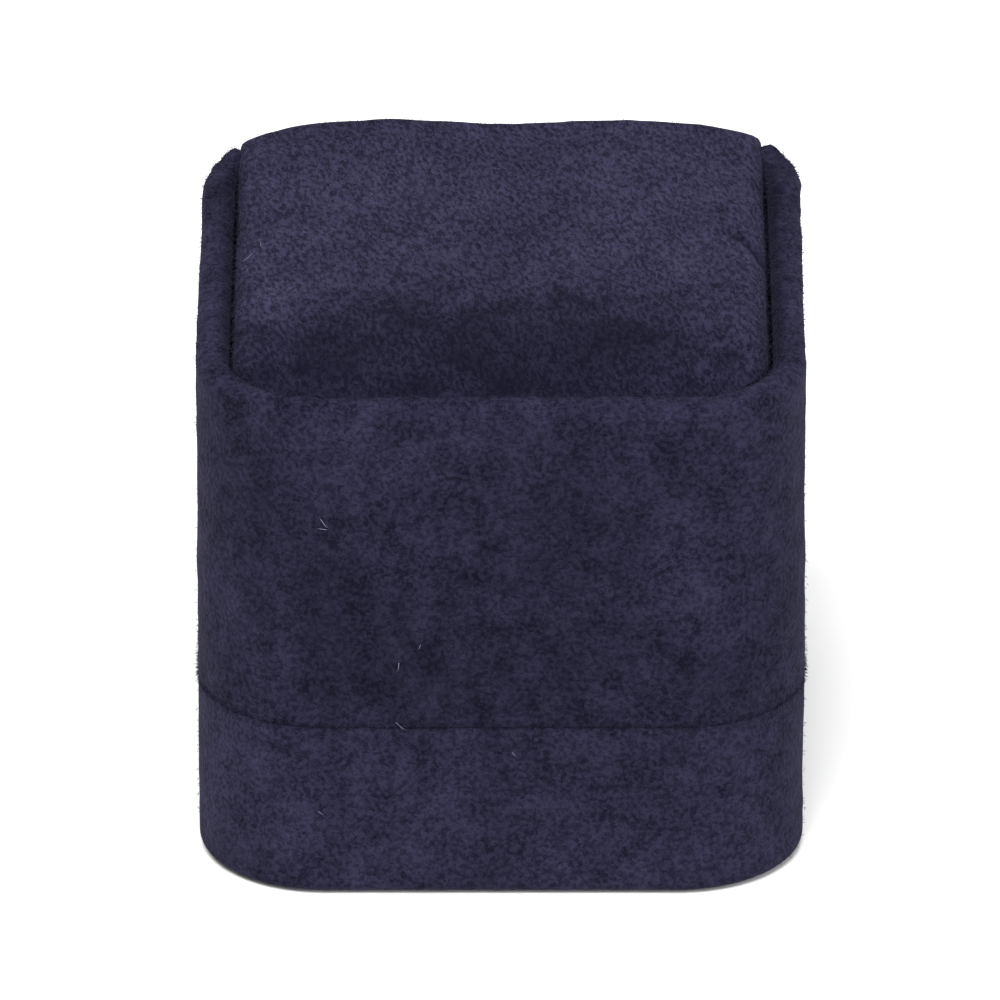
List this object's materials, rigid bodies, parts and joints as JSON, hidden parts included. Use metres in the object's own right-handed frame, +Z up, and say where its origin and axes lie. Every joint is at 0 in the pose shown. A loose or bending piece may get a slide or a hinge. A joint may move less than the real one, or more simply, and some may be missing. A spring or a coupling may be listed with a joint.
{
  "type": "ring box",
  "caption": "Small velvet ring box with rounded corners, a lower band, and a padded lid inset between the side walls on a rear hinge.",
  "frame": {"origin": "under the middle of the box, on the surface it stands on", "axes": "+X to the right, +Y to the back where the hinge is, +Z up"},
  "size_m": [0.055, 0.06, 0.0505],
  "materials": {
    "outer_velvet": "short-pile navy velvet",
    "pad_velvet": "fine navy velvet",
    "lining_satin": "navy satin",
    "felt": "felt sheet",
    "greyboard": "greyboard",
    "foam": "open-cell foam",
    "hinge_brass": "satin brass plate",
    "spring_steel": "spring steel"
  },
  "bodies": {
    "box": {"base_shell": "greyboard", "base_velvet": "outer_velvet", "bottom_felt": "felt", "wall_shell": "greyboard", "wall_velvet": "outer_velvet", "inner_frame": "greyboard", "inner_lining": "lining_satin", "pad_platform": "greyboard", "platform_riser": "greyboard", "front_pad_foam": "foam", "front_pad_cover": "pad_velvet", "rear_pad_foam": "foam", "rear_pad_cover": "pad_velvet", "hinge_body_leaf": "hinge_brass", "hinge_pin": "hinge_brass", "snap_spring": "spring_steel", "body_rivets": "hinge_brass"},
    "lid": {"lid_board": "greyboard", "lid_foam": "foam", "lid_velvet": "outer_velvet", "lid_lining_pad": "foam", "lid_lining_cover": "lining_satin", "hinge_lid_leaf": "hinge_brass", "lid_rivets": "hinge_brass"}
  },
  "joints": [
    {"name": "lid_hinge", "type": "hinge", "parent": "box", "child": "lid", "pos_m": [0, 0.0287, 0.0406], "axis": [-1, 0, 0], "range_deg": [0, 100]}
  ]
}
